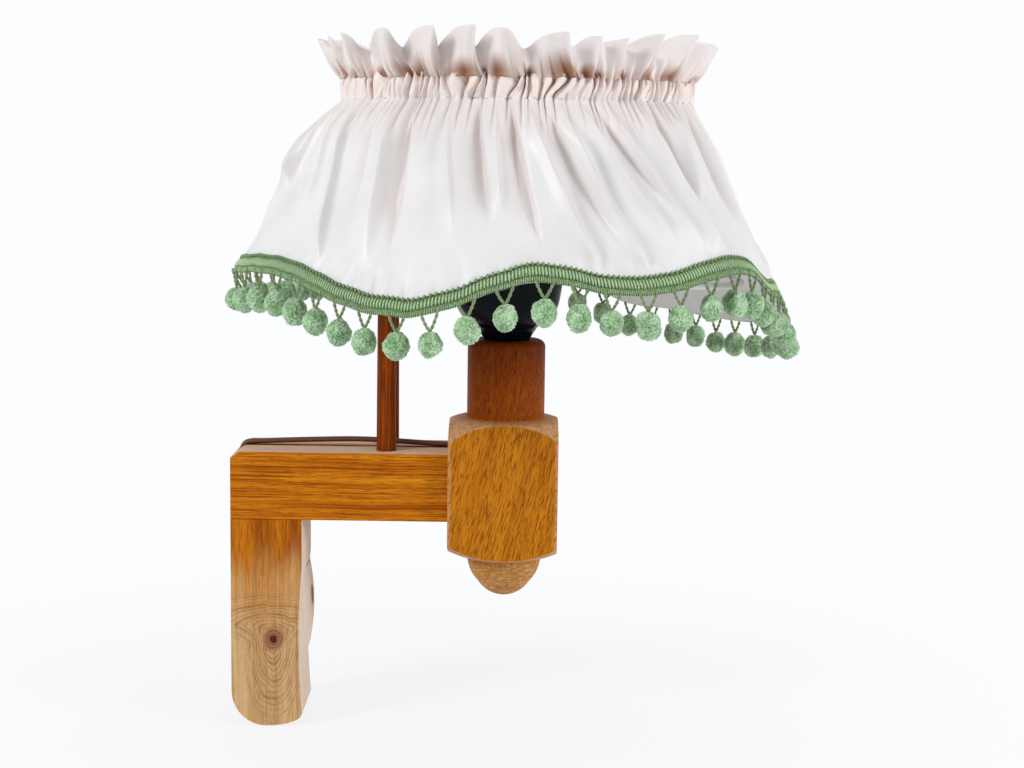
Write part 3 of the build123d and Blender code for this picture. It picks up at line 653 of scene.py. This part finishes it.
def channel_rows(gathers):
    """Points, pink and painted shade of each row of the puckered channel."""
    angle = gathers.angle
    crease = smooth_step(0.35, -0.95, crisp(gathers.tuck))
    for share in np.linspace(0, 1, CHANNEL_ROWS)[1:]:
        turn = angle + gathers.shift * smooth_step(0.0, 1.0, share)
        pinch = smooth_step(0.75, 1.0, share)
        swayed = gathers.swayed(share)
        crinkle = ripple(angle, 10 * share, 9, 51, (60, 170), (-0.5, 0.5))
        puff = 1.4 * gathers.depth * swayed + 0.6 * crinkle
        radius = CHANNEL_RADIUS - 0.8 + 0.5 * math.sin(math.pi * share) + puff - pinch
        uneven = 0.8 * ripple(angle, 2 * share, 8, 61, (20, 130), (-1, 1))
        height = CHANNEL_BASE + CHANNEL_HEIGHT * share + uneven
        height = height + 2.8 * smooth_step(0.5, 1.0, share) * gathers.depth * swayed
        points = shade_points(np.maximum(radius, CHANNEL_RADIUS - 2.6), turn, height)
        pink = np.full(FABRIC_COLUMNS, 0.5 + 0.4 * smooth_step(0.0, 0.6, share))
        # The creases between tucks are darkened with painted shade
        painted_shade = crease * gathers.depth * (0.6 + 0.4 * smooth_step(0.4, 0.9, share))
        yield points, pink, np.minimum(painted_shade, 1.0)


def frill_rows(gathers):
    """Points, pink and painted shade of each row of the standing frill."""
    angle = gathers.angle
    foot = CHANNEL_BASE + CHANNEL_HEIGHT
    wave, top, depth, dip, lean = ruffles(angle)
    hollows = frill_hollows()
    rounded = 1 - 2 * np.abs(np.sin(wave / 2 + 0.2)) ** 3.2
    crest = top - dip + dip * rounded + 0.5 * ripple(angle, 0.0, 5, 31, (8, 60), (0, 0))
    for share in np.linspace(0, 1, FRILL_ROWS)[1:]:
        aside = 0.85 * lean * share ** 1.4 * np.cos(wave - 0.1)
        turn = angle + np.degrees(aside / FRILL_RADIUS) + gathers.shift * (1 - share) ** 2
        flare = share ** 0.6
        spread = (FRILL_RADIUS - CHANNEL_RADIUS + 1.6) * flare + depth * flare * np.cos(wave)
        radius = CHANNEL_RADIUS - 1.6 + spread
        radius = radius + 1.4 * smooth_step(0.8, 0.0, share) * gathers.depth * gathers.swayed(1.0)
        radius = radius + 0.9 * share * ripple(angle, 14 * share, 6, 71, (30, 90), (-0.12, 0.12))
        scoop = hollow_shade(angle, share, hollows)
        radius = radius - 2.4 * scoop * smooth_step(0.0, 0.12, share)
        points = shade_points(radius, turn, foot + share * (crest - CHANNEL_BASE - CHANNEL_HEIGHT))
        pink = np.full(FABRIC_COLUMNS, 0.9 - 0.5 * smooth_step(0.1, 0.7, share))
        shadow = 0.02 + 0.07 * ripple(angle, 9 * share, 5, 75, (9, 30), (-0.2, 0.2))
        shadow = shadow + 0.3 * smooth_step(0.3, -1.0, np.cos(wave + 1.4)) * smooth_step(1.1, 0.2, share)
        shadow = np.maximum(shadow, 0.0) * (1 - 0.8 * smooth_step(0.94, 0.97, share))
        crease = 0.6 * smooth_step(0.35, 0.0, share) * smooth_step(0.3, -0.95, crisp(gathers.tuck))
        # Hollows, the dip behind each crest, a faint mottle and the tuck creases at the foot are all
        # darkened with painted shade
        yield points, pink, np.maximum(scoop, shadow + crease)


def make_fabric():
    """Gathered satin cover: folded skirt, puckered channel and standing frill."""
    gathers = Gathers()
    rows = [*skirt_rows(gathers), *channel_rows(gathers), *frill_rows(gathers)]
    points, pinks, painted_shades = (np.concatenate(column) for column in zip(*rows))
    faces = grid_faces(len(rows), FABRIC_COLUMNS)
    cover = new_mesh("shade_cover", points, faces, {"pink": pinks, "painted_shade": painted_shades})
    layer = cover.data.uv_layers.new(name="cloth")
    corners = np.zeros(len(cover.data.loops), dtype=np.int64)
    cover.data.loops.foreach_get("vertex_index", corners)
    around = (corners % FABRIC_COLUMNS) / FABRIC_COLUMNS * 0.9
    upward = corners // FABRIC_COLUMNS / len(rows) * 0.15
    layer.data.foreach_set("uv", np.stack([around, upward], axis=-1).astype(np.float32).ravel())
    thicken = cover.modifiers.new("thickness", "SOLIDIFY")
    thicken.thickness = CLOTH_THICKNESS * MM
    thicken.offset = -1.0
    dress(cover, "shade", "satin_cloth", satin(), "shade_fabric")
    return cover


def make_braid():
    """Gimp braid: a row of ribs, a finer lower band and small loops along the top."""
    columns = BRAID_RIBS * COLUMNS_PER_RIB
    angle = np.arange(columns) * 360 / columns
    phase = np.radians(angle) * BRAID_RIBS + 0.7 * ripple(angle, 0.0, 8, 81, (9, 60), (0, 0))
    wobble = 0.3 * ripple(angle, 0.0, 9, 91, (11, 47), (0, 0))
    # Height above the hem, thickness, depth of the ribs, fineness, tone of the row and its contrast, which
    # darkens the grooves between ribs as painted shade
    profile = [(0.2, 0.5, 0.1, 0.75, 0.25, 0.2), (0.5, 0.9, 0.2, 0.75, 0.36, 0.3),
               (1.2, 1.2, 0.25, 0.75, 0.46, 0.35), (2.1, 1.2, 0.25, 0.75, 0.46, 0.35),
               (2.8, 0.9, 0.2, 0.75, 0.34, 0.3), (3.2, 0.7, 0.0, 0.75, 0.2, 0.0),
               (3.5, 1.1, 0.25, 0.5, 0.32, 0.3), (4.2, 1.6, 0.3, 0.5, 0.52, 0.45),
               (5.5, 1.8, 0.3, 0.5, 0.6, 0.5), (6.8, 1.6, 0.3, 0.5, 0.5, 0.45),
               (7.5, 1.1, 0.25, 0.5, 0.3, 0.3), (7.8, 0.7, 0.0, 0.5, 0.14, 0.0),
               (8.1, 1.1, 0.4, 0.3, 0.2, 0.2), (8.7, 1.4, 0.5, 0.3, 0.32, 0.3),
               (9.2, 1.0, 0.5, 0.3, 0.2, 0.2)]
    rows = []
    tones = []
    for level, thickness, depth, fineness, tone, contrast in profile:
        wave = np.cos(phase * fineness * 2 + 0.25 * level)
        lift = 0.7 * wave if level > 8.5 else 0.3 * wave if level < 0.6 else 0.0
        radius, height = flank(angle, level + lift + wobble - 0.6)
        rows.append(shade_points(radius + 0.4 + thickness + depth * wave, angle, height))
        # Tone follows the ribs' relief, darker in the grooves: painted shade
        tones.append(np.clip(tone + contrast * wave, 0, 1))
    for level in (8.8, 0.3):
        radius, height = flank(angle, level + wobble - 0.6)
        rows.append(shade_points(radius + 0.25, angle, height))
        tones.append(np.full(columns, 0.2))
    faces = grid_faces(len(rows), columns, wrap_rows=True)
    band = new_mesh("braid_band", np.concatenate(rows), faces, {"tone": np.concatenate(tones)})
    dress(band, "shade", "green_braid", braid_yarn(), "braid")
    return band


def ball_points(count):
    """Evenly spread directions."""
    index = np.arange(count) + 0.5
    height = 1 - 2 * index / count
    turn = np.pi * (1 + math.sqrt(5)) * index
    flat = np.sqrt(1 - height ** 2)
    return np.stack([flat * np.cos(turn), flat * np.sin(turn), height], axis=-1)


def ball_faces(directions):
    """Triangles of the hull of points on a ball."""
    ball = bmesh.new()
    corners = [ball.verts.new(point) for point in directions]
    ball.verts.index_update()
    bmesh.ops.convex_hull(ball, input=corners)
    faces = [[corner.index for corner in face.verts] for face in ball.faces]
    ball.free()
    return faces


def hem_point(angle, below):
    """Point of the braid's foot, moved below it square to the run of the hem."""
    angle = np.asarray([angle - 0.1, angle, angle + 0.1])
    points = shade_points(hem_reach(angle) + 1.2, angle, hem_height(angle) - BRAID_WIDTH / 2)
    turn = math.radians(angle[1])
    outward = np.array([math.cos(turn), math.sin(turn), 0])
    square = np.cross(outward, points[2] - points[0])
    return points[1] - square / np.linalg.norm(square) * below


def tube(path, radius, sides):
    """Points and faces of a thin tube along a path."""
    path = np.asarray(path)
    ahead = np.gradient(path, axis=0)
    ahead = ahead / np.linalg.norm(ahead, axis=1)[:, None]
    side = np.cross(ahead, [0.31, 0.9, 0.3])
    side = side / np.linalg.norm(side, axis=1)[:, None]
    over = np.cross(ahead, side)
    turn = np.arange(sides) * 2 * np.pi / sides
    ring = np.cos(turn)[None, :, None] * side[:, None, :] + np.sin(turn)[None, :, None] * over[:, None, :]
    points = (path[:, None, :] + radius * ring).reshape(-1, 3)
    return points, grid_faces(len(path), sides)


def make_pompoms():
    """Wool balls with a cut pile, each on two twisted threads."""
    chance = np.random.default_rng(17)
    pile = ball_points(PILE_POINTS)
    hull = ball_faces(pile)
    along = np.linspace(0, 1, STRAND_POINTS)[:, None]
    points = []
    faces = []
    tones = []
    olives = []
    total = 0

    def lay(new_points, new_faces, new_tones, olive):
        nonlocal total
        points.append(new_points)
        faces.extend(tuple(corner + total for corner in face) for face in new_faces)
        tones.append(new_tones)
        olives.append(np.full(len(new_points), olive))
        total += len(new_points)

    for index in range(POMPOM_COUNT):
        angle = POMPOM_TURN + index * 360 / POMPOM_COUNT + chance.uniform(-0.5, 0.5)
        hang = hem_point(angle, 0.0)
        short = max(0.0, POMPOM_RADIUS + 0.6 - hang[0])
        size = POMPOM_RADIUS * chance.uniform(0.94, 1.04)
        middle = hang + [short, 0, -POMPOM_DROP + chance.uniform(-0.6, 0.6)]
        stretch = np.array([1.0, 1.0, chance.uniform(1.05, 1.18)])
        tilt = chance.uniform(-5, 5, (3, 4))
        shift = chance.uniform(0, 6, 4)
        swell = 1 + 0.025 * np.sin(pile @ tilt + shift).sum(axis=1)
        tuft = chance.uniform(0, 1, len(pile)) ** 0.8
        ends = pile + 0.035 * chance.uniform(-1, 1, pile.shape)
        shell = ends * (size * swell * (0.85 + 0.14 * tuft))[:, None] * stretch
        # Points standing further out are painted paler and those between the tufts darker: painted
        # highlight and painted shade
        lay(middle + shell, hull, np.clip(0.5 * tuft + 2 * (swell - 1), 0.0, 0.9), 0.0)
        knot = middle + [0, 0, 0.93 * size * stretch[2]]
        spread = math.degrees(THREAD_SPREAD / HEM_RADIUS)
        outward = np.array([math.cos(math.radians(angle)), math.sin(math.radians(angle)), 0])
        for turn in (-spread, spread):
            top = hem_point(angle + turn, -1.5)
            line = top + (knot - top) * along + [0, 0, -1.0] * np.sin(np.pi * along)
            across = np.cross(knot - top, outward)
            across = across / np.linalg.norm(across)
            for ply in (0, np.pi):
                twist = along * STRAND_TWIST + ply
                strand = line + STRAND_APART * (np.cos(twist) * across + np.sin(twist) * outward)
                strand_points, strand_faces = tube(strand, STRAND_RADIUS, 5)
                tone = np.full(len(strand_points), chance.uniform(0.3, 0.6))
                lay(strand_points, strand_faces, tone, 0.75)
    attributes = {"tone": np.concatenate(tones), "olive": np.concatenate(olives)}
    trim = new_mesh("pompom_trim", np.concatenate(points), faces, attributes)
    dress(trim, "shade", "green_pompom", pompom_wool(), "pompoms")
    return trim


def make_flex():
    """Flex from the lampholder down the neck, along the arm and down its wall end."""
    route = [(150, 0, 171.8), (150, 0, 100), (150, 0, 83.4), (134, 0, 84.0), (106, 0, 85.0), (72, 0, 87.2),
             (36, 0, 86.0), (14, 0, 85.05), (3.6, 0, 84.6), (3.6, 0, 75), (3.6, 0, 43.0)]
    data = bpy.data.curves.new("flex_line", "CURVE")
    data.dimensions = "3D"
    data.bevel_depth = 1.5 * MM
    data.bevel_resolution = 5
    data.use_fill_caps = True
    line = data.splines.new("NURBS")
    line.points.add(len(route) - 1)
    for point, place in zip(line.points, route):
        point.co = (*(Vector(place) * MM), 1.0)
    line.order_u = 3
    line.use_endpoint_u = True
    line.resolution_u = 12
    cord = bpy.data.objects.new("flex_cord", data)
    scene.collection.objects.link(cord)
    dress(cord, "bracket", "brown_flex", flex_sheath(), "flex")
    Vector(route[0]) * MM


def dress_nodes():
    """Materials for the solids that stay in view."""
    steel = speckled("zinc_steel", (0.55, 0.55, 0.56), (0.68, 0.68, 0.69), 0.38, Metallic=1.0)
    brass = speckled("brass", (0.72, 0.5, 0.2), (0.8, 0.6, 0.28), 0.32, Metallic=1.0)
    plated = speckled("plated", (0.66, 0.66, 0.67), (0.78, 0.78, 0.79), 0.28, Metallic=1.0)
    enamel = speckled("black_enamel", (0.002, 0.003, 0.004), (0.005, 0.006, 0.009), 0.25, 180.0,
                      Specular_IOR_Level=0.07)
    moulding = speckled("black_moulding", (0.008, 0.008, 0.009), (0.016, 0.016, 0.017), 0.3)
    ceramic = speckled("ceramic", (0.72, 0.71, 0.67), (0.8, 0.79, 0.76), 0.5)
    plastic = speckled("pale_plastic", (0.7, 0.69, 0.65), (0.78, 0.77, 0.73), 0.45)
    wire = speckled("coated_wire", (0.72, 0.71, 0.69), (0.8, 0.79, 0.78), 0.42)
    elastic = speckled("elastic", (0.76, 0.72, 0.7), (0.84, 0.81, 0.79), 0.8, 1600.0, 0.0003)
    arm = arm_wood()
    dowel = dowel_wood()
    looks = {
        "wall_post": post_wood(), "arm": arm, "turned_head": head_wood(), "front_dowel": dowel,
        "rear_dowel": dowel, "arm_pegs": arm, "hanging_plate": steel, "hanging_plate_screws": steel,
        "terminal_block": plastic, "terminal_screws": brass, "lamp_cup": enamel, "nipple": brass,
        "nipple_nut": brass, "lampholder_cap": moulding, "lampholder_insert": ceramic,
        "lampholder_skirt": moulding, "thread_shell": plated, "centre_contact": brass,
        "bulb_insulator": moulding, "bulb_cap": plated, "bulb_glass": opal_glass(), "frame_top_ring": wire,
        "frame_bottom_ring": wire, "frame_ribs": wire, "shade_carrier": wire, "elastic_band": elastic,
    }
    for name, material in looks.items():
        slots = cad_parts[name].data.materials
        slots.clear()
        slots.append(material)


# Studio

FLOOR_COLOUR = (0.92, 0.93, 0.945)
BACKDROP_COLOUR = (0.975, 0.982, 0.995)
WORLD_LIGHT = 0.3
LAMP_TARGET = (0.155, 0.0, 0.13)
# Name, place, size and power of each lamp
LAMPS = [("key", (-1.2, -1.0, 1.0), 0.5, 18.0), ("fill", (1.6, -0.7, 0.6), 0.6, 13.5),
         ("top", (0.2, 0.5, 1.7), 1.2, 5.0)]


def seen_rays(tree):
    """1 for rays to the eye, straight or by gloss or glass, else 0."""
    path = tree.nodes.new("ShaderNodeLightPath")
    seen = path.outputs["Is Camera Ray"]
    for name in ("Is Glossy Ray", "Is Transmission Ray"):
        either = tree.nodes.new("ShaderNodeMath")
        either.operation = "MAXIMUM"
        tree.links.new(seen, either.inputs[0])
        tree.links.new(path.outputs[name], either.inputs[1])
        seen = either.outputs[0]
    return seen


def make_floor():
    """Pale floor that keeps the lamp's shadow and is plain white further off."""
    half = 4000.0
    level = -72.0
    corners = [(-half, -half, level), (half, -half, level), (half, half, level), (-half, half, level)]
    floor = new_mesh("floor", corners, [(0, 1, 2, 3)], smooth=False)
    paint = Paint("floor", Roughness=0.9, Specular_IOR_Level=0.1, Base_Color=(*FLOOR_COLOUR, 1.0))
    ends = {0: paint.place(), 1: (0.1, 0.0, 0.0)}
    from_lamp = paint.add("VectorMath", ends, operation="DISTANCE").outputs["Value"]
    share = paint.math("MULTIPLY", paint.span(from_lamp, 0.05, 0.45, 0.82, 1.0), seen_rays(paint.tree))
    white = paint.add("Emission", {"Color": (*BACKDROP_COLOUR, 1.0), "Strength": 1.0})
    both = paint.add("MixShader", {0: share, 1: paint.shader.outputs[0], 2: white.outputs[0]})
    paint.tree.links.new(both.outputs[0], paint.tree.nodes["Material Output"].inputs["Surface"])
    floor.data.materials.append(paint.material)


def make_light():
    world = bpy.data.worlds.new("studio")
    scene.world = world
    world.use_nodes = True
    tree = world.node_tree
    tree.nodes.clear()
    out = tree.nodes.new("ShaderNodeOutputWorld")
    background = tree.nodes.new("ShaderNodeBackground")
    level = tree.nodes.new("ShaderNodeMapRange")
    level.inputs["To Min"].default_value = WORLD_LIGHT
    level.inputs["To Max"].default_value = 1.0
    tree.links.new(seen_rays(tree), level.inputs["Value"])
    background.inputs["Color"].default_value = (*BACKDROP_COLOUR, 1.0)
    tree.links.new(level.outputs["Result"], background.inputs["Strength"])
    tree.links.new(background.outputs[0], out.inputs["Surface"])
    for name, place, size, power in LAMPS:
        data = bpy.data.lights.new(name, "AREA")
        data.size = size
        data.energy = power
        lamp = bpy.data.objects.new(name, data)
        scene.collection.objects.link(lamp)
        lamp.location = place
        aim = Vector(LAMP_TARGET) - Vector(place)
        lamp.rotation_euler = aim.to_track_quat("-Z", "Y").to_euler()


make_camera()
make_flex()
dress_nodes()
cover = make_fabric()
band = make_braid()
trim = make_pompoms()
make_floor()
make_light()
